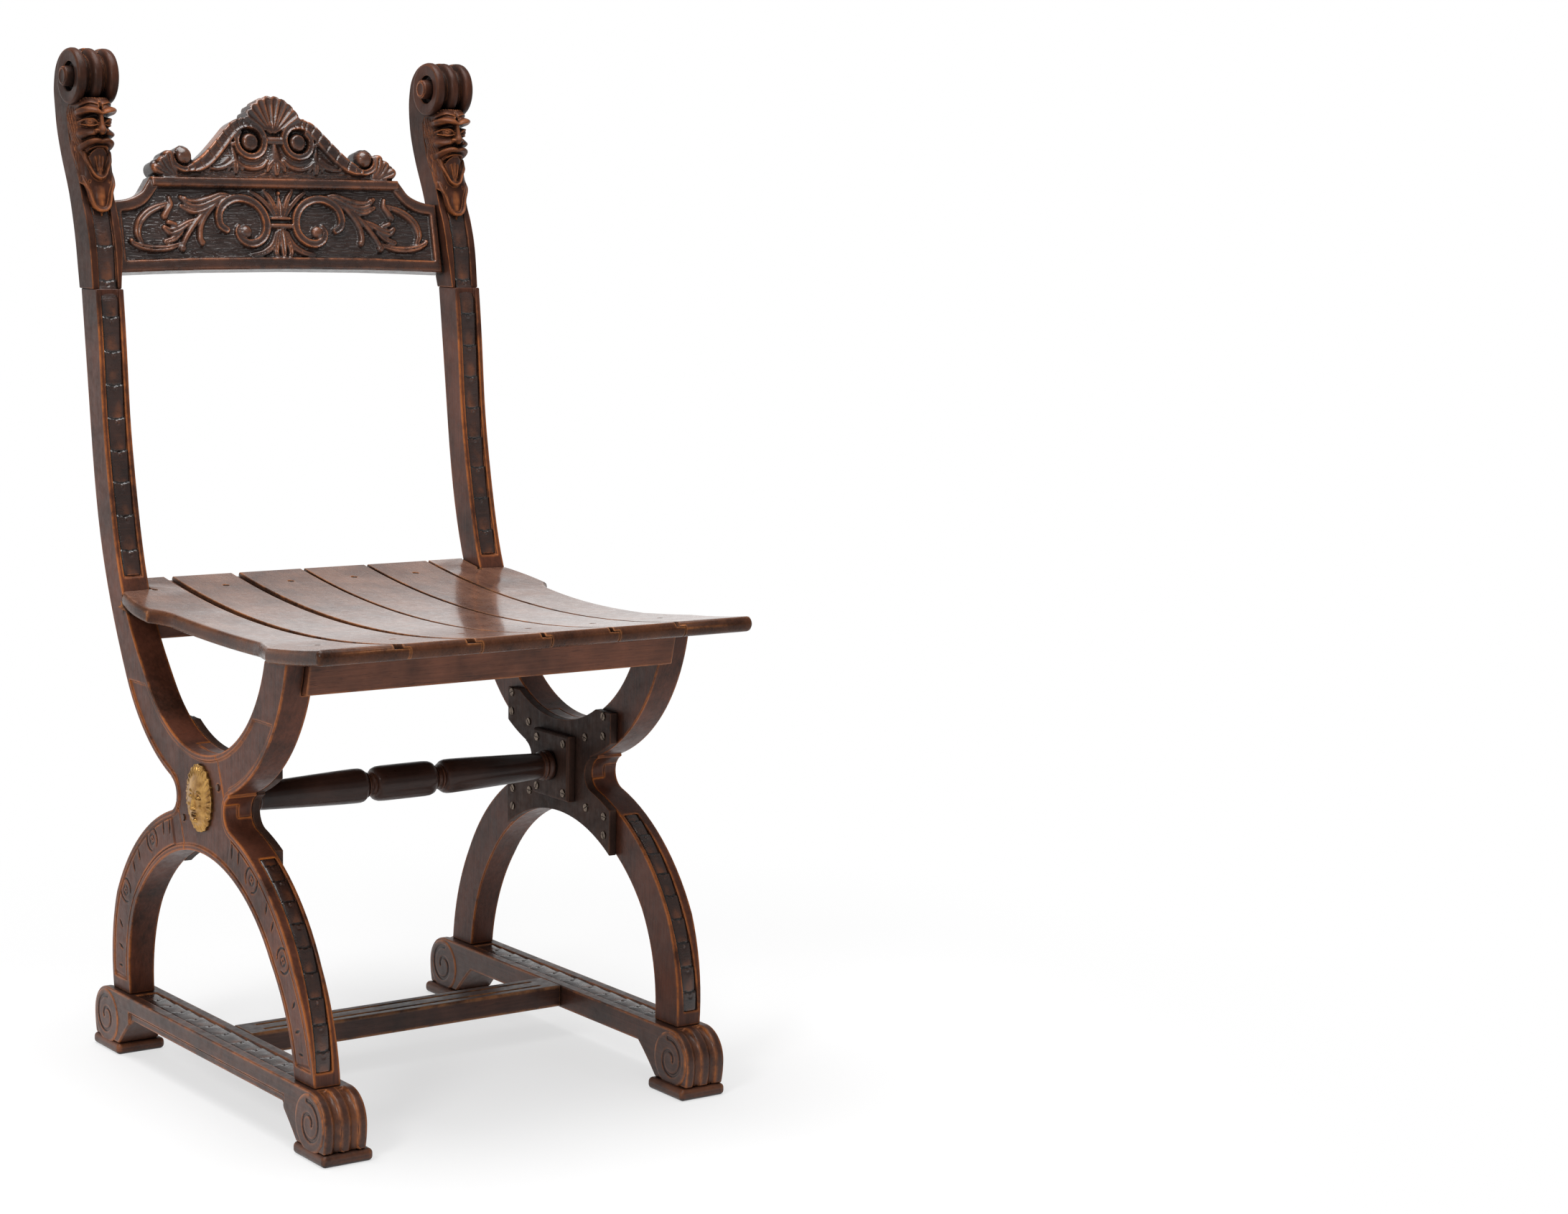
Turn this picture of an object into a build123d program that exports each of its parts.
from build123d import *
import math
import os

# Savonarola-style side chair with fixed X-shaped side frames, all lengths in mm, +Z up.
# The chair faces -Y.  "left" is the sitter's left, which is +X.
# Pieces are drawn about the middle of the two runners, then every piece is moved
# together so that the origin lies under the middle of the whole chair.

# ---------------------------------------------------------------- driving sizes
fit_gap = 0.25                 # clearance round every tenon, dowel, screw and housing

# side frames: two S-shaped members half-lapped into an X
frame_inner_x = 201.0          # inner face of a frame, from the chair's middle plane
frame_thickness = 31.5         # thickness at the crossing and in the posts
foot_inner_x, foot_thickness = 196.0, 28.6   # the legs lean in and taper down to this
taper_top_z = 180.0            # height where the lean and the taper start
leg_arch_radius = 190.5        # underside of the arch between the legs
leg_width = 42.5
arm_y, arm_z = 3.0, 515.0      # centre of the upper U of arm and post
arm_radius = 154.0
arm_width = 44.0
waist_notch_y = 73.0           # centre of the round notch at each side of the crossing
lap_waist_y, lap_edge_y = 58.0, 34.0   # corners of the half-lap's six-sided face
edge_bead_width = 6.0          # raised rim left round the carved outer face
carving_depth = 1.6
field_foot_z, field_head_z = 84.0, 414.0     # where the sunk field starts and stops

# posts, from the U up to the splice under the carved head
post_foot_z = 415.0
splice_z = 819.0
post_rear_line = ((7.0, 480.0), (33.5, 549.0), (62.5, 707.0), (78.0, splice_z))
post_front_line = ((3.0, 465.0), (27.0, 509.0), (50.0, 584.0), (68.0, 675.0), (84.0, splice_z))
channel_width, channel_depth = 20.0, 3.0
channel_foot_z = 519.0
leg_channel_width, leg_channel_head_z = 17.0, 272.0      # carved channel down the front of each front leg
runner_channel_width, runner_channel_depth, runner_channel_gap = 22.0, 2.4, 7.0

# carved post heads
head_rear_line = ((4.0, 840.0), (11.0, 875.0), (24.5, 918.0), (44.5, 959.0), (56.0, 990.0), (60.0, 1024.0))
head_front_line = ((8.0, 876.0), (20.0, 912.0), (32.0, 950.0), (37.0, 985.0))
head_depth, head_inner_x, head_thickness = 35.0, 196.5, 37.0
head_foot_narrowing, head_foot_height = 4.0, 44.0   # the head's inner face leans out to meet the post
head_setback = 2.5             # the head stands proud of the post by this at the back
scroll_eye_back, scroll_z = 13.5, 1041.0   # scroll centre behind the head's rear foot line
scroll_radius = 30.0
eye_radius, eye_stand_out = 8.0, 10.0
face_width, face_depth, face_half_height, face_drop = 30.0, 24.0, 40.0, 66.0

# runners, pads and stretchers
pad_height, pad_inner_x, pad_outer_x = 12.5, 178.6, 233.8
pad_start_y, pad_end_y, pad_round = 203.0, 268.0, 5.0
runner_inner_x, runner_outer_x = 185.7, 231.5
runner_top_z, runner_bar_height = 69.0, 25.0
volute_y, volute_radius = 236.0, 32.0
volute_cove_radius = 5.0
volute_heel_radius = 87.5                      # below its middle the scroll runs almost straight down to the pad
runner_step, runner_band_height = 2.0, 17.0    # the lower band lies back under the upper one
bracket_length, bracket_mid_z = 62.0, 27.0     # curve from the bar down to the pad
floor_bar_width, floor_bar_height = 42.0, 23.5
floor_bar_top_z = 69.2
tenon_width, tenon_length, tenon_depth = 14.0, 26.0, 16.0

# seat
seat_front_y, seat_rear_y = -287.0, 225.0
dish_y, dish_low_z, dish_radius = -58.0, 488.7, 1633.0
slat_thickness, slat_pitch, slat_count = 15.5, 78.5, 6
lip_thickness, lap_width = 4.6, 7.0
slat_shrink_gaps = (10.0, 9.0, 4.0, 4.0, 4.0)    # tongue that shows at each joint
seat_corner_x, seat_waist_x, seat_rear_lobe_x = 247.0, 223.5, 241.0
seat_edge_round = 5.5
rail_height, rail_thickness, rail_housing = 34.0, 20.0, 10.0
front_rail_y, rear_rail_y, rail_lean = -201.0, 168.0, 9.0

# crest rail
crest_base_z, crest_setback, crest_tilt = 836.0, 21.5, 12.5   # set back from the heads' rear foot line
crest_thickness = 20.0
crest_arch_rise = 4.0
crest_shoulder_z, crest_bar_z, crest_bar_x = 912.0, 937.5, 150.0
crest_bar_height, crest_bar_relief = 10.0, 2.5
shell_radius, shell_height, crest_shell_foot_z = 34.0, 25.0, 1003.0
# scooped shoulder: x in from the rail's end and height over the shoulder
shoulder_scoop = ((12.0, 1.0), (24.0, 4.5), (34.0, 10.0), (40.0, 17.0))
# upper edge of the pediment's S-shaped arm: x from the middle and height over the bar
pediment_arm = ((110.0, 19.0), (94.0, 20.5), (80.0, 30.0), (66.0, 42.5), (54.0, 56.0), (44.0, 64.0),
                (36.0, 65.0))
# scrolled ends: x, height over the bar and radius
pediment_lobes = ((109.5, 23.0, 11.0), (126.0, 19.0, 10.0), (139.0, 10.5, 9.5))
crest_tenon_length, crest_tenon_thickness, crest_tenon_height = 18.0, 9.0, 56.0

# crossing plates, turned stretcher and masks
plate_thickness, plate_half_length, plate_foot_z, plate_head_z = 9.0, 105.0, 218.0, 382.0
crossing_z = 311.0
block_size, block_thickness = 72.0, 10.0
turned_end_radius, turned_swell_radius, barrel_radius, neck_radius = 14.0, 18.25, 18.75, 11.0
swell_x, barrel_half_length, neck_x = 58.0, 36.0, 41.0
turned_tenon_radius, turned_tenon_length = 8.0, 30.0
mask_z, mask_width, mask_height, mask_base, mask_relief = 316.0, 58.0, 71.0, 3.0, 8.0
nose_relief, mask_pin_radius, mask_pin_spread = 4.0, 1.5, 24.0

# fasteners
screw_head_radius, screw_shank_radius, screw_length, slot_width = 4.5, 2.2, 22.0, 1.1
screw_dome = 0.9
dowel_radius, dowel_length = 6.0, 50.0
peg_radius = 3.0
crest_peg_length, crest_peg_front = 19.5, 4.5
nail_radius, nail_head_radius, nail_length = 1.4, 3.0, 30.0
nail_frame_gap = 3.675                          # outermost seat nails, inside the frames
nail_head_height, pad_nail_length, pad_nail_depth, pad_nail_spread = 1.2, 24.0, 4.0, 12.0

# ---------------------------------------------------------------- derived sizes
frame_outer_x = frame_inner_x + frame_thickness
frame_mid_x = frame_inner_x + frame_thickness / 2
leg_outer_radius = leg_arch_radius + leg_width
arm_outer_radius = arm_radius + arm_width
post_line_y = arm_y + arm_radius           # the U's inner edge at its widest
head_foot_y = post_line_y + arm_width + post_rear_line[-1][0] + head_setback
scroll_y = head_foot_y + scroll_eye_back
crest_front_y = head_foot_y - crest_setback
crest_end_x = head_inner_x - fit_gap
leg_y = leg_arch_radius + leg_width / 2
foot_mid_x = foot_inner_x + foot_thickness / 2
runner_mid_x = (runner_inner_x + runner_outer_x) / 2
runner_bar_z = runner_top_z - runner_bar_height
volute_z = runner_top_z - volute_radius
heel_y = volute_y + volute_radius - volute_heel_radius
dish_centre_z = dish_low_z + dish_radius
plate_face_x = frame_inner_x - plate_thickness
block_face_x = plate_face_x - block_thickness
far = 2000.0                               # longer than the chair in any direction

os.makedirs("parts", exist_ok=True)


def along_x(face, start, end):
    """A flat face drawn in Y and Z, given depth from x = start to x = end."""
    return Pos(start, 0, 0) * extrude(Plane.YZ * face, amount=end - start)


def disc(y, z, radius):
    return Pos(y, z) * Circle(radius)


def block(x0, x1, y0, y1, z0, z1):
    middle = ((x0 + x1) / 2, (y0 + y1) / 2, (z0 + z1) / 2)
    return Pos(*middle) * Box(abs(x1 - x0), abs(y1 - y0), abs(z1 - z0))


def rod_x(x0, x1, y, z, radius):
    turned = Pos((x0 + x1) / 2, y, z) * Rot(0, 90, 0)
    return turned * Cylinder(radius, abs(x1 - x0))


def head_outline():
    rear = [(head_foot_y, splice_z)] + [(head_foot_y + y, z) for y, z in head_rear_line]
    front = [(head_foot_y - head_depth, splice_z)]
    front += [(head_foot_y - head_depth + y, z) for y, z in head_front_line]
    brow = (scroll_y - 0.3 * scroll_radius, scroll_z - 0.9 * scroll_radius)
    crown = (scroll_y + 2, scroll_z + scroll_radius)
    edges = [
        Spline(*rear, crown, tangents=((0.12, 1), (-1, 0))),
        Line(crown, (scroll_y, scroll_z)),
        Line((scroll_y, scroll_z), brow),
        Spline(*front, brow),
        Line(front[0], rear[0]),
    ]
    return make_face(Wire(edges)) + disc(scroll_y, scroll_z, scroll_radius)


reach_rear_y = head_outline().bounding_box().max.X     # drawn with Y across and Z up
shift_y = -(seat_front_y + reach_rear_y) / 2


def nail_solid(x, y, shank_z, length, head_z, grow):
    shank = Cylinder(nail_radius + grow, length + 2 * grow)
    head = Cylinder(nail_head_radius + grow, nail_head_height + 2 * grow)
    return Pos(x, y, shank_z) * shank + Pos(x, y, head_z) * head


def save(shape, node):
    export_step(Pos(0, shift_y, 0) * shape, f"parts/{node}.step")


def save_pair(left_shape, stem):
    save(left_shape, f"{stem}_left")
    save(mirror(left_shape, about=Plane.YZ), f"{stem}_right")


def save_group(solids, node):
    """Several loose pieces of one kind, kept as separate solids in one file."""
    moved = [Pos(0, shift_y, 0) * solid for solid in solids]
    export_step(Compound(children=moved), f"parts/{node}.step")


def save_group_pair(left_solids, stem):
    save_group(left_solids, f"{stem}_left")
    save_group([mirror(solid, about=Plane.YZ) for solid in left_solids], f"{stem}_right")


# ---------------------------------------------------------------- side frame outline
def circle_y(centre_y, centre_z, radius, z):
    """Y of a circle's +Y side at height z."""
    return centre_y + math.sqrt(radius**2 - (z - centre_z)**2)


def circle_tangent(centre_y, centre_z, y, z):
    """Upward direction along a circle at one of its points."""
    return (-(z - centre_z), y - centre_y)


def post_outline():
    inner_foot = (circle_y(arm_y, arm_z, arm_radius, post_foot_z), post_foot_z)
    outer_foot = (circle_y(arm_y, arm_z, arm_outer_radius, post_foot_z), post_foot_z)
    front = [inner_foot] + [(post_line_y + y, z) for y, z in post_front_line]
    rear = [outer_foot] + [(post_line_y + arm_width + y, z) for y, z in post_rear_line]
    up = (0.14, 1.0)
    front_edge = Spline(*front, tangents=(circle_tangent(arm_y, arm_z, *inner_foot), up))
    rear_edge = Spline(*rear, tangents=(circle_tangent(arm_y, arm_z, *outer_foot), up))
    closing = [Line(front[-1], rear[-1]), Line(front[0], rear[0])]
    return make_face(Wire([front_edge, closing[0], rear_edge, closing[1]]))


def notch_z():
    gap_low = runner_top_z + leg_outer_radius
    gap_high = arm_z - arm_outer_radius
    return (gap_low + gap_high) / 2


def crossing_outline(inset=0.0):
    """Leg arch below, U above and the waist between them, drawn inset mm smaller all round."""
    half_plane = Pos(0, runner_top_z + far / 2) * Rectangle(far, far)
    leg_disc = disc(0, runner_top_z, leg_outer_radius - inset) & half_plane
    below = Pos(far / 2, post_foot_z - far / 2) * Rectangle(far, far)
    below += Pos(-far / 2, dish_low_z - far / 2) * Rectangle(far, far)
    arm_disc = disc(arm_y, arm_z, arm_outer_radius - inset) & below
    corners = [(-waist_notch_y, notch_z()), (0, runner_top_z), (waist_notch_y, notch_z()), (arm_y, arm_z)]
    shape = leg_disc + arm_disc + make_face(Polyline(*corners, close=True))
    notch_radius = math.hypot(waist_notch_y, notch_z() - runner_top_z) - leg_outer_radius
    for side in (-1, 1):
        shape -= disc(side * waist_notch_y, notch_z(), notch_radius + inset)
    shape -= disc(0, runner_top_z, leg_arch_radius + inset)
    return shape - disc(arm_y, arm_z, arm_radius + inset)


def along_y(corners):
    """A shape through the whole depth of the chair, from its corners in X and Z."""
    return Pos(0, far / 2, 0) * extrude(Plane.XZ * make_face(Polyline(*corners, close=True)), amount=far)


def taper_wedge():
    """What is planed off the outer face towards the foot."""
    slope = (frame_outer_x - foot_inner_x - foot_thickness) / (taper_top_z - runner_top_z)
    drop = taper_top_z - runner_bar_z
    return along_y([
        (frame_outer_x, taper_top_z),
        (frame_outer_x - slope * drop, runner_bar_z),
        (frame_outer_x + far, runner_bar_z),
        (frame_outer_x + far, taper_top_z),
    ])


def inner_space():
    """The room inside the frame, down to where the inner face leans in to the foot."""
    slope = (frame_inner_x - foot_inner_x) / (taper_top_z - runner_top_z)
    drop = taper_top_z - runner_bar_z
    return along_y([
        (frame_inner_x, taper_top_z),
        (frame_inner_x, far),
        (0, far),
        (0, runner_bar_z),
        (frame_inner_x - slope * drop, runner_bar_z),
    ])


def lap_face():
    """Six-sided face of the half-lap, corner to corner with the two notches."""
    lift = 62.0
    corners = [
        (-lap_waist_y, crossing_z), (-lap_edge_y, crossing_z + lift), (lap_edge_y, crossing_z + lift),
        (lap_waist_y, crossing_z), (lap_edge_y, crossing_z - lift), (-lap_edge_y, crossing_z - lift),
    ]
    return make_face(Polyline(*corners, close=True))


def seat_space():
    """Everything above the underside of the dished seat, in front of the posts."""
    under = Rot(0, 90, 0) * Cylinder(dish_radius + slat_thickness, far)
    dish = Pos(0, dish_y, dish_centre_z) * under
    return dish & block(-far / 2, far / 2, -far / 2, rear_rail_y, 0, far / 2)


def front_rail_section(grow=0.0):
    top_z = seat_underside_z(front_rail_y) + grow
    foot_z = top_z - rail_height - 2 * grow
    corners = [
        (front_rail_y + rail_lean - grow, foot_z), (front_rail_y - grow, top_z + 3),
        (front_rail_y + rail_thickness + grow, top_z + 3),
        (front_rail_y + rail_lean + rail_thickness + grow, foot_z),
    ]
    return make_face(Polyline(*corners, close=True))


def rear_rail_section(grow=0.0):
    top_z = seat_underside_z(rear_rail_y) + grow
    foot_z = top_z - rail_height - 2 * grow
    corners = [
        (rear_rail_y - grow, foot_z), (rear_rail_y - grow, top_z + 3),
        (rear_rail_y + rail_thickness + grow, top_z + 3),
        (rear_rail_y + rail_thickness + grow, foot_z),
    ]
    return make_face(Polyline(*corners, close=True))


def seat_top_z(y):
    return dish_centre_z - math.sqrt(dish_radius**2 - (y - dish_y)**2)


def seat_underside_z(y):
    radius = dish_radius + slat_thickness
    return dish_centre_z - math.sqrt(radius**2 - (y - dish_y)**2)


def screw_places():
    """Screws of a crossing plate: three in a fan along each of its four limbs."""
    leg_ring = (0, runner_top_z, leg_y, 1)
    arm_ring = (arm_y, arm_z, arm_radius + arm_width / 2, -1)
    places = []
    for centre_y, centre_z, radius, way in (leg_ring, arm_ring):
        reach = plate_half_length - 2.5 * screw_head_radius
        for share, inset in ((1.0, 9.0), (1.0, -9.0), (0.62, 0.0)):
            y = reach * share
            z = centre_z + way * math.sqrt((radius + inset)**2 - y**2)
            places += [(centre_y - y, z), (centre_y + y, z)]
    return places


def block_screw_places():
    reach = block_size / 2 - 2 * screw_head_radius
    return [(sy * reach, crossing_z + sz * reach) for sy in (-1, 1) for sz in (-1, 1)]


def screw(face_x, y, z, turn, grow=0.0):
    """A slotted screw driven outwards (+X) from a face at x = face_x."""
    head = Cone(screw_shank_radius + grow, screw_head_radius + grow, 3.0 + grow)
    head = Pos(face_x + (3.0 + grow) / 2, y, z) * Rot(0, -90, 0) * head
    shank = rod_x(face_x + 1.0, face_x + screw_length + grow, y, z, screw_shank_radius + grow)
    body = head + shank
    if grow:
        return body
    cap = rod_x(face_x - screw_dome, face_x, y, z, screw_head_radius - 0.4)
    slot = Box(screw_dome * 2, far, slot_width)
    slot = Pos(face_x - screw_dome, y, z) * Rot(turn, 0, 0) * slot
    return (body + cap) - slot


# ---------------------------------------------------------------- side frames
outline = crossing_outline() + post_outline()
whole_frame = along_x(outline, foot_inner_x, frame_outer_x) - taper_wedge() - inner_space() - seat_space()

# the sunk field of the outer face, inside a raised rim
field = crossing_outline(edge_bead_width)
field &= Pos(0, (field_foot_z + field_head_z) / 2) * Rectangle(far, field_head_z - field_foot_z)
sunk = block(frame_outer_x - carving_depth, far, -far, far, 0, far) + Pos(-carving_depth, 0, 0) * taper_wedge()
sunk_field = along_x(field, 0, far) & sunk

# the channel down the front of each post
channel_front = [(post_line_y + y, z) for y, z in post_front_line[1:]]
channel_floor = [(y + channel_depth, z) for y, z in channel_front]
channel_mouth = [(y - 3 * channel_depth, z) for y, z in reversed(channel_front)]
channel_face = make_face(Wire([
    Spline(*channel_floor), Line(channel_floor[-1], channel_mouth[0]),
    Spline(*channel_mouth), Line(channel_mouth[-1], channel_floor[0]),
]))
channel = along_x(channel_face, frame_mid_x - channel_width / 2, frame_mid_x + channel_width / 2)
channel &= block(0, far, -far, far, channel_foot_z, far)

# turned stretcher tenon, plate and block screws bored into the frame
bores = rod_x(block_face_x - 1, block_face_x + turned_tenon_length + 1, 0, crossing_z,
              turned_tenon_radius + fit_gap)
plate_screw_holes = [screw(plate_face_x, y, z, 0, fit_gap) for y, z in screw_places()]
block_screw_holes = [screw(block_face_x, y, z, 0, fit_gap) for y, z in block_screw_places()]
for hole in plate_screw_holes + block_screw_holes:
    bores += hole


rail_housings = along_x(front_rail_section(fit_gap), frame_inner_x - 1, frame_inner_x + rail_housing + fit_gap)
rail_housings += along_x(rear_rail_section(fit_gap), frame_inner_x - 1, frame_inner_x + rail_housing + fit_gap)

splice_y = (post_line_y + post_front_line[-1][0] + post_line_y + arm_width + post_rear_line[-1][0]) / 2
splice_dowel = Pos(frame_mid_x, splice_y, splice_z) * Cylinder(dowel_radius, dowel_length)
splice_bore = Pos(frame_mid_x, splice_y, splice_z) * Cylinder(dowel_radius + fit_gap, dowel_length + 2)

mask_pin_z = (mask_z - mask_pin_spread, mask_z + mask_pin_spread)
mask_pins = [rod_x(frame_outer_x - 10, frame_outer_x + 0.5, 0, z, mask_pin_radius) for z in mask_pin_z]
mask_pin_bores = [rod_x(frame_outer_x - 11, frame_outer_x + 2, 0, z, mask_pin_radius + fit_gap)
                  for z in mask_pin_z]
lap_pin_places = ((-40.0, crossing_z + 22), (40.0, crossing_z - 22))
lap_pins = [rod_x(frame_inner_x + 2, frame_outer_x, y, z, peg_radius) for y, z in lap_pin_places]
lap_pin_bores = [rod_x(frame_inner_x + 1, frame_outer_x + 1, y, z, peg_radius + fit_gap)
                 for y, z in lap_pin_places]

leg_channel_x = (frame_mid_x + foot_mid_x) / 2
leg_channel_face = disc(0, runner_top_z, leg_outer_radius + 9) - disc(0, runner_top_z, leg_outer_radius - channel_depth)
leg_channel = along_x(leg_channel_face, leg_channel_x - leg_channel_width / 2, leg_channel_x + leg_channel_width / 2)
leg_channel &= block(0, far, -far, 0, field_foot_z, leg_channel_head_z)

for cutter in [sunk_field, channel, leg_channel, bores, rail_housings, splice_bore] + mask_pin_bores + lap_pin_bores:
    whole_frame -= cutter

lap_prism = along_x(lap_face(), 0, far)
outer_half = lap_prism & block(frame_mid_x, far, -far, far, 0, far)
inner_half = lap_prism & block(0, frame_mid_x, -far, far, 0, far)
front_low = block(0, far, -far, 0, 0, crossing_z)
rear_high = block(0, far, 0, far, crossing_z, far)
front_high = block(0, far, -far, 0, crossing_z, far)
rear_low = block(0, far, 0, far, 0, crossing_z)

leg_and_post = whole_frame & ((front_low + rear_high) - inner_half + outer_half)
leg_and_arm = whole_frame & ((front_high + rear_low) - outer_half + inner_half)


def foot_tenon(side, grow=0.0):
    root = 4.0                 # the tenon is rooted this far inside the leg
    size = (tenon_width + 2 * grow, tenon_length + 2 * grow, tenon_depth + root + 2 * grow)
    return Pos(foot_mid_x, side * leg_y, runner_top_z + (root - tenon_depth) / 2) * Box(*size)


save_pair(leg_and_post + foot_tenon(-1), "front_leg_and_post")
save_pair(leg_and_arm + foot_tenon(1), "rear_leg_and_arm")
save_pair(splice_dowel, "head_dowel")
save_group_pair(lap_pins, "lap_pins")
save_group_pair(mask_pins, "mask_pins")


# ---------------------------------------------------------------- carved post heads
def crest_point(x, z, depth=0.0):
    """A point of the leaning crest rail, depth mm behind its front face."""
    lean = math.radians(crest_tilt)
    y = crest_front_y + (z - crest_base_z) * math.tan(lean) + depth / math.cos(lean)
    return (x, y, z)


crest_plane = Plane(origin=(0, crest_front_y, crest_base_z), x_dir=(1, 0, 0),
                    z_dir=(0, -math.cos(math.radians(crest_tilt)), math.sin(math.radians(crest_tilt))))


def up(z):
    """Height along the leaning rail for a real height z."""
    return (z - crest_base_z) / math.cos(math.radians(crest_tilt))


def crest_tenon(grow=0.0):
    middle_z = (crest_base_z + crest_shoulder_z) / 2
    size = (crest_tenon_length + 2 + 2 * grow, crest_tenon_thickness + 2 * grow, crest_tenon_height + 2 * grow)
    x = head_inner_x + crest_tenon_length / 2 - 1
    return Pos(*crest_point(x, middle_z, crest_thickness / 2)) * Rot(-crest_tilt, 0, 0) * Box(*size)


def crest_pegs(grow=0.0):
    pegs = []
    for z in (crest_base_z + 22, crest_shoulder_z - 20):
        x, y, _ = crest_point(head_inner_x + crest_tenon_length / 2, z, crest_thickness / 2)
        mid_y = y - crest_peg_front + crest_peg_length / 2
        peg = Pos(x, mid_y, z) * Rot(90, 0, 0) * Cylinder(peg_radius + grow, crest_peg_length + 2 * grow)
        pegs.append(peg)
    return pegs


head = along_x(head_outline(), head_inner_x, head_inner_x + head_thickness)
head_mid_x = head_inner_x + head_thickness / 2
face_middle = (head_mid_x, head_foot_y + 0.5, scroll_z - face_drop)
face_form = scale(Sphere(1), by=(face_width / 2, face_depth, face_half_height))
face_form = Pos(*face_middle) * Rot(-crest_tilt, 0, 0) * face_form
head += face_form & block(0, far, -far, head_foot_y + 12, 0, far)
head -= along_y([
    (head_inner_x - 1, splice_z + head_foot_height),
    (head_inner_x, splice_z + head_foot_height),
    (head_inner_x + head_foot_narrowing, splice_z),
    (head_inner_x + head_foot_narrowing, splice_z - 1),
    (head_inner_x - 1, splice_z - 1),
])
head += rod_x(head_inner_x - eye_stand_out + 2.5, head_inner_x + head_thickness + eye_stand_out,
              scroll_y, scroll_z, eye_radius)
head_channel = block(head_mid_x - channel_width / 2, head_mid_x + channel_width / 2,
                     head_foot_y - head_depth - 9, head_foot_y - head_depth + channel_depth,
                     splice_z, splice_z + 46)
head = head - head_channel - splice_bore - crest_tenon(fit_gap)
for peg in crest_pegs(fit_gap):
    head -= peg
save_pair(head, "post_head")


# ---------------------------------------------------------------- crest rail
def crest_half():
    """Half the rail's outline in the leaning plane, x across and height up."""
    bar_foot_z = crest_bar_z - crest_bar_height / 2
    middle_rise, quarter_rise = crest_arch_rise, 0.75 * crest_arch_rise
    foot = [(0, up(crest_base_z + middle_rise)), (crest_end_x / 2, up(crest_base_z + quarter_rise)),
            (crest_end_x, up(crest_base_z))]
    scoop = [(crest_end_x, up(crest_shoulder_z))]
    scoop += [(crest_end_x - x, up(crest_shoulder_z + z)) for x, z in shoulder_scoop]
    scoop += [(crest_bar_x, up(crest_bar_z))]
    body = make_face(Wire([
        ThreePointArc(*foot), Line(foot[2], scoop[0]), Spline(*scoop),
        Line(scoop[-1], (0, up(crest_bar_z))), Line((0, up(crest_bar_z)), foot[0]),
    ]))
    upper = [(x, up(crest_bar_z + z)) for x, z in pediment_arm]
    last_lobe = pediment_lobes[-1]
    gable_foot = (last_lobe[0], up(bar_foot_z))
    arm = make_face(Wire([
        Line((0, up(bar_foot_z)), gable_foot), Line(gable_foot, (last_lobe[0], up(crest_bar_z + last_lobe[1]))),
        Line((last_lobe[0], up(crest_bar_z + last_lobe[1])), upper[0]), Spline(*upper),
        Line(upper[-1], (0, upper[-1][1])), Line((0, upper[-1][1]), (0, up(bar_foot_z))),
    ]))
    shape = body + arm
    for x, z, radius in pediment_lobes:
        shape += disc(x, up(crest_bar_z + z), radius)
    return shape


def crest_shell():
    foot_z = up(crest_shell_foot_z)
    sunk_z = up(crest_bar_z)
    top = up(crest_shell_foot_z + shell_height)
    shoulder = (0.7 * shell_radius, foot_z + 0.62 * (top - foot_z))
    rim = Spline((shell_radius, foot_z), shoulder, (0, top), tangents=((-0.2, 1), (-1, 0)))
    root_x = 0.5 * shell_radius
    return make_face(Wire([
        Line((0, sunk_z), (root_x, sunk_z)), Line((root_x, sunk_z), (shell_radius, foot_z)), rim,
        Line((0, top), (0, sunk_z)),
    ]))


crest_face = crest_half() + crest_shell()
crest_face += mirror(crest_face, about=Plane.YZ)
crest = extrude(crest_plane * crest_face, amount=-crest_thickness)
bar_face = Pos(0, up(crest_bar_z - crest_bar_height / 2)) * Rectangle(2 * crest_bar_x - 2, crest_bar_height)
crest += extrude(crest_plane * bar_face, amount=crest_bar_relief)
for tenon in (crest_tenon(), mirror(crest_tenon(), about=Plane.YZ)):
    crest += tenon
for peg in crest_pegs(fit_gap):
    crest -= peg
    crest -= mirror(peg, about=Plane.YZ)
save(crest, "crest_rail")
save_group_pair(crest_pegs(), "crest_pegs")


# ---------------------------------------------------------------- seat
def seat_section():
    """Side view of a dished slat with a round nose at each end."""
    top = [(seat_front_y + seat_edge_round, 0), (dish_y, 0), (seat_rear_y - 3, 0)]
    top = [(y, seat_top_z(y)) for y, _ in top]
    under = [(y, seat_underside_z(y)) for y, _ in top]
    nose = (seat_front_y, (top[0][1] + under[0][1]) / 2)
    heel = (seat_rear_y, (top[2][1] + under[2][1]) / 2)
    return make_face(Wire([
        ThreePointArc(top[0], top[1], top[2]), ThreePointArc(top[2], heel, under[2]),
        ThreePointArc(under[2], under[1], under[0]), ThreePointArc(under[0], nose, top[0]),
    ]))


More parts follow.
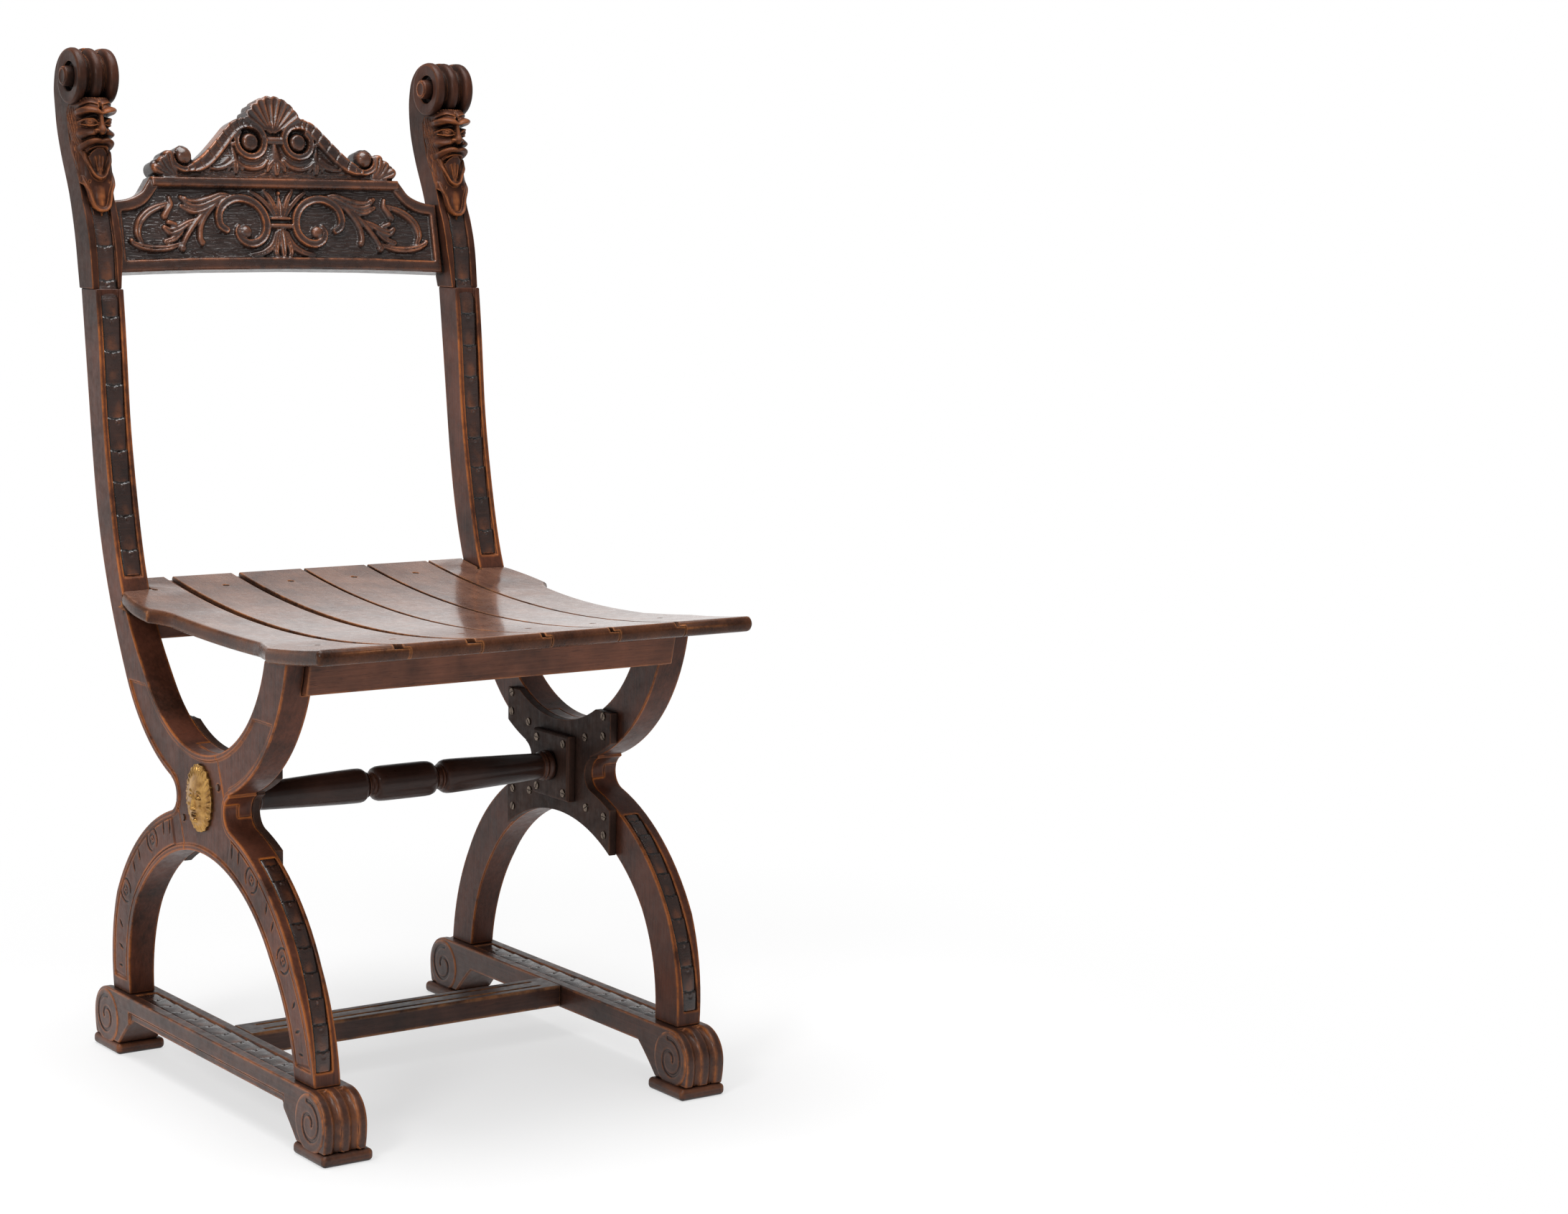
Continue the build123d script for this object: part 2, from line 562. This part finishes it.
def seat_plan():
    """Half of the seat seen from above, on the +X side."""
    post_y = post_line_y + post_front_line[1][0] - 1.5
    inner = frame_inner_x - 1.5
    corner_y, bead_y, waist_y, cusp_y = -178.0, -128.0, -25.0, 70.0
    edges = [
        Line((0, seat_front_y - 20), (seat_corner_x, seat_front_y - 20)),
        Line((seat_corner_x, seat_front_y - 20), (seat_corner_x, corner_y)),
        Spline((seat_corner_x, corner_y), (seat_waist_x + 12, bead_y - 20), (seat_waist_x + 3, bead_y + 8)),
        ThreePointArc((seat_waist_x + 3, bead_y + 8), (seat_waist_x, waist_y), (seat_waist_x + 3.5, cusp_y)),
        ThreePointArc((seat_waist_x + 3.5, cusp_y), (seat_waist_x + 10, cusp_y + 24),
                      (seat_rear_lobe_x, cusp_y + 34)),
        ThreePointArc((seat_rear_lobe_x, cusp_y + 34), (seat_rear_lobe_x + 0.5, cusp_y + 66),
                      (seat_rear_lobe_x - 7, post_y)),
        Line((seat_rear_lobe_x - 7, post_y), (inner, post_y)),
        Line((inner, post_y), (inner, seat_rear_y + 20)),
        Line((inner, seat_rear_y + 20), (0, seat_rear_y + 20)),
        Line((0, seat_rear_y + 20), (0, seat_front_y - 20)),
    ]
    return make_face(Wire(edges))


section = seat_section()
post_space = along_x(Pos(-2 * fit_gap, 0) * post_outline(), frame_inner_x - 2, frame_outer_x + 2)
lip_region = disc(dish_y, dish_centre_z, dish_radius + lip_thickness)
tongue_region = disc(dish_y, dish_centre_z, dish_radius + lip_thickness + fit_gap)
lip_section = section & lip_region
tongue_section = section - tongue_region

half_plan = extrude(seat_plan(), amount=far)
plan = half_plan + mirror(half_plan, about=Plane.YZ)
joint_x = [(i - slat_count / 2) * slat_pitch for i in range(1, slat_count)]

nail_rows = (front_rail_y + rail_thickness / 2 + 2, rear_rail_y + rail_thickness / 2)


def nail(x, y, grow=0.0):
    top = seat_top_z(y) - 0.6
    return nail_solid(x, y, top - nail_length / 2, nail_length, top - nail_head_height / 2, grow)


slat_middles = [(i - (slat_count - 1) / 2) * slat_pitch for i in range(slat_count)]
outer_nail_x = frame_inner_x - nail_frame_gap
nail_columns = [-outer_nail_x, *[x * 0.98 for x in slat_middles[1:-1]], outer_nail_x]
nail_places = [(x, y) for x in nail_columns for y in nail_rows]
nail_holes = [nail(x, y, fit_gap) for x, y in nail_places]
nail_pockets = [Pos(x, y, seat_top_z(y)) * Cylinder(nail_head_radius + fit_gap, 2.4) for x, y in nail_places]

for i in range(slat_count):
    start = joint_x[i - 1] + lap_width if i else -far / 4
    end = joint_x[i] - slat_shrink_gaps[i] if i < slat_count - 1 else far / 4
    slat = along_x(section, start, end)
    if i:
        slat += along_x(lip_section, joint_x[i - 1], start)
    if i < slat_count - 1:
        slat += along_x(tongue_section, end, joint_x[i] + lap_width - fit_gap)
    slat = (slat & plan) - post_space - mirror(post_space, about=Plane.YZ)
    for place, hole, pocket in zip(nail_places, nail_holes, nail_pockets):
        if abs(place[0] - slat_middles[i]) < slat_pitch / 2:
            slat = slat - hole - pocket
    save(slat, f"seat_slat_{i + 1}")
save_group([nail(x, y) for x, y in nail_places], "seat_nails")

# rails under the seat, housed into the frames
for name, rail_section in (("front_seat_rail", front_rail_section()), ("rear_seat_rail", rear_rail_section())):
    reach = frame_inner_x + rail_housing
    rail = along_x(rail_section, -reach, reach)
    under = Pos(0, dish_y, dish_centre_z) * Rot(0, 90, 0) * Cylinder(dish_radius + slat_thickness, far)
    rail -= under
    for hole in nail_holes:
        rail -= hole
    save(rail, name)


# ---------------------------------------------------------------- runners, pads, floor stretcher
def runner_outline():
    bar = Pos(0, runner_top_z - runner_bar_height / 2) * Rectangle(2 * volute_y, runner_bar_height)
    outline = bar
    for side in (-1, 1):
        outline += disc(side * volute_y, volute_z, volute_radius)
        below = Pos(side * (volute_y + volute_radius), volute_z - volute_radius) * Rectangle(
            2 * volute_radius, 2 * volute_radius)
        outline += disc(side * heel_y, volute_z, volute_heel_radius) & below
        y0, y1 = side * (volute_y - bracket_length), side * (pad_start_y + 4)
        bracket = make_face(Wire([
            Line((y0, runner_bar_z), (side * volute_y, runner_bar_z)),
            Line((side * volute_y, runner_bar_z), (side * volute_y, pad_height)),
            Line((side * volute_y, pad_height), (y1, pad_height)),
            Spline((y1, pad_height), (side * (pad_start_y - 10), bracket_mid_z), (y0, runner_bar_z)),
        ]))
        outline += bracket
    return outline - Pos(0, pad_height - far / 2) * Rectangle(far, far)


runner = along_x(runner_outline(), runner_inner_x, runner_outer_x)
for side in (-1, 1):
    scroll_side = block(0, far, side * volute_y, side * far, volute_z, far)
    heel_side = block(0, far, side * volute_y, side * far, 0, volute_z)
    for part in (0.3, 0.7):
        x = runner_inner_x + part * (runner_outer_x - runner_inner_x)
        scroll_cove = Rot(0, 90, 0) * Torus(volute_radius + 2, volute_cove_radius)
        heel_cove = Rot(0, 90, 0) * Torus(volute_heel_radius + 2, volute_cove_radius)
        runner -= (Pos(x, side * volute_y, volute_z) * scroll_cove) & scroll_side
        runner -= (Pos(x, side * heel_y, volute_z) * heel_cove) & heel_side
    runner -= foot_tenon(side, fit_gap)
band_end_y = volute_y - bracket_length + 6
channel_end_y = leg_arch_radius - runner_channel_gap
runner -= block(runner_mid_x - runner_channel_width / 2, runner_mid_x + runner_channel_width / 2,
                -channel_end_y, channel_end_y, runner_top_z - runner_channel_depth, far)
low_band = block(runner_outer_x - runner_step, far, -band_end_y, band_end_y, 0, runner_top_z - runner_band_height)
runner -= low_band
floor_bar_z = floor_bar_top_z - floor_bar_height / 2
floor_tenon_size = (tenon_depth, floor_bar_width * 0.6, floor_bar_height * 0.45)
floor_tenon_x = runner_inner_x + tenon_depth / 2
floor_bar = Pos(0, 0, floor_bar_z) * Box(2 * runner_inner_x, floor_bar_width, floor_bar_height)
floor_bar = fillet(floor_bar.edges().filter_by(Axis.X), 2.5)
for y in (-0.22 * floor_bar_width, 0.22 * floor_bar_width):
    groove = Pos(0, y, floor_bar_top_z) * Rot(0, 90, 0) * Cylinder(1.5, 2 * runner_inner_x - 40)
    floor_bar -= groove
for side in (-1, 1):
    floor_bar += Pos(side * floor_tenon_x, 0, floor_bar_z) * Box(*floor_tenon_size)
mortise_size = (tenon_depth + 2 * fit_gap, floor_tenon_size[1] + 2 * fit_gap, floor_tenon_size[2] + 2 * fit_gap)
runner -= Pos(floor_tenon_x, 0, floor_bar_z) * Box(*mortise_size)

pad_nail_y = (pad_start_y + pad_end_y) / 2


def pad_nails(grow=0.0):
    nails = []
    head_z = pad_nail_depth + nail_head_height / 2
    shank_z = pad_nail_depth + pad_nail_length / 2
    for side in (-1, 1):
        for x in (runner_mid_x - pad_nail_spread, runner_mid_x + pad_nail_spread):
            nails.append(nail_solid(x, side * pad_nail_y, shank_z, pad_nail_length, head_z, grow))
    return nails


for hole in pad_nails(fit_gap):
    runner -= hole
save_pair(runner, "runner")
save(floor_bar, "floor_stretcher")
save_group_pair(pad_nails(), "pad_nails")

for name, side in (("front_pad", -1), ("rear_pad", 1)):
    pad = block(pad_inner_x, pad_outer_x, side * pad_start_y, side * pad_end_y, 0, pad_height)
    pad = fillet(pad.edges().filter_by(Axis.Z), pad_round)
    pad = fillet(pad.edges().group_by(Axis.Z)[-1] + pad.edges().group_by(Axis.Z)[0], pad_round)
    for hole in pad_nails(fit_gap):
        pad -= hole
    for x in (runner_mid_x - pad_nail_spread, runner_mid_x + pad_nail_spread):
        pocket = Cylinder(nail_head_radius + fit_gap, pad_nail_depth + 1)
        pad -= Pos(x, side * pad_nail_y, pad_nail_depth / 2) * pocket
    save_pair(pad, name)


# ---------------------------------------------------------------- crossing plates and turned stretcher
plate_face = outline & (Pos(0, (plate_foot_z + plate_head_z) / 2)
                        * Rectangle(2 * plate_half_length, plate_head_z - plate_foot_z))
plate = along_x(plate_face, plate_face_x, frame_inner_x - 0.05) - bores
save_pair(plate, "crossing_plate")

stretcher_block = block(block_face_x, plate_face_x - 0.05, -block_size / 2, block_size / 2,
                        crossing_z - block_size / 2, crossing_z + block_size / 2)
stretcher_block = chamfer(stretcher_block.faces().sort_by(Axis.X)[0].edges(), 2.0) - bores
save_pair(stretcher_block, "stretcher_block")

plate_screws = [screw(plate_face_x, y, z, 37 * i) for i, (y, z) in enumerate(screw_places())]
block_screws = [screw(block_face_x, y, z, 61 * i) for i, (y, z) in enumerate(block_screw_places())]
save_group_pair(plate_screws, "plate_screws")
save_group_pair(block_screws, "block_screws")


def turned_half():
    """Profile of half the turned stretcher, radius against distance from the middle."""
    end_x = block_face_x - fit_gap
    tenon_x = block_face_x + turned_tenon_length
    ring = neck_radius + 4
    edges = [
        Line((0, 0), (0, barrel_radius)),
        Line((0, barrel_radius), (barrel_half_length - 6, barrel_radius)),
        ThreePointArc((barrel_half_length - 6, barrel_radius), (barrel_half_length - 1.5, barrel_radius - 2),
                      (barrel_half_length, ring)),
        Line((barrel_half_length, ring), (neck_x - 2.5, ring)),
        Line((neck_x - 2.5, ring), (neck_x - 1.5, neck_radius)),
        Line((neck_x - 1.5, neck_radius), (neck_x + 1.5, neck_radius)),
        Line((neck_x + 1.5, neck_radius), (neck_x + 2.5, ring)),
        Line((neck_x + 2.5, ring), (neck_x + 5, ring)),
        Spline((neck_x + 5, ring), (neck_x + 9, turned_swell_radius - 1), (swell_x, turned_swell_radius),
               (swell_x + 50, turned_swell_radius - 1.6), (end_x - 9, turned_end_radius)),
        Line((end_x - 9, turned_end_radius), (end_x - 7, turned_end_radius + 2)),
        Line((end_x - 7, turned_end_radius + 2), (end_x, turned_end_radius + 2)),
        Line((end_x, turned_end_radius + 2), (end_x, turned_tenon_radius)),
        Line((end_x, turned_tenon_radius), (tenon_x, turned_tenon_radius)),
        Line((tenon_x, turned_tenon_radius), (tenon_x, 0)),
        Line((tenon_x, 0), (0, 0)),
    ]
    return revolve(make_face(Wire(edges)), Axis.X)


turned = turned_half()
turned += mirror(turned, about=Plane.YZ)
save(Pos(0, 0, crossing_z) * turned, "turned_stretcher")


# ---------------------------------------------------------------- brass masks
mask_x = frame_outer_x - carving_depth + 0.05
mask_ellipse = Pos(0, mask_z) * Ellipse(mask_width / 2, mask_height / 2)
mask = along_x(mask_ellipse, mask_x, mask_x + mask_base)
mask_form = scale(Sphere(1), by=(mask_relief, mask_width * 0.36, mask_height * 0.44))
mask += Pos(mask_x + mask_base, 0, mask_z) * mask_form & block(mask_x + 0.5, far, -far, far, 0, far)
nose = scale(Sphere(1), by=(nose_relief, nose_relief, mask_height / 8))
mask += Pos(mask_x + mask_base + mask_relief - 1.5, 0, mask_z - 1) * nose
for pin_bore in mask_pin_bores:
    mask -= pin_bore
save_pair(mask, "mask")
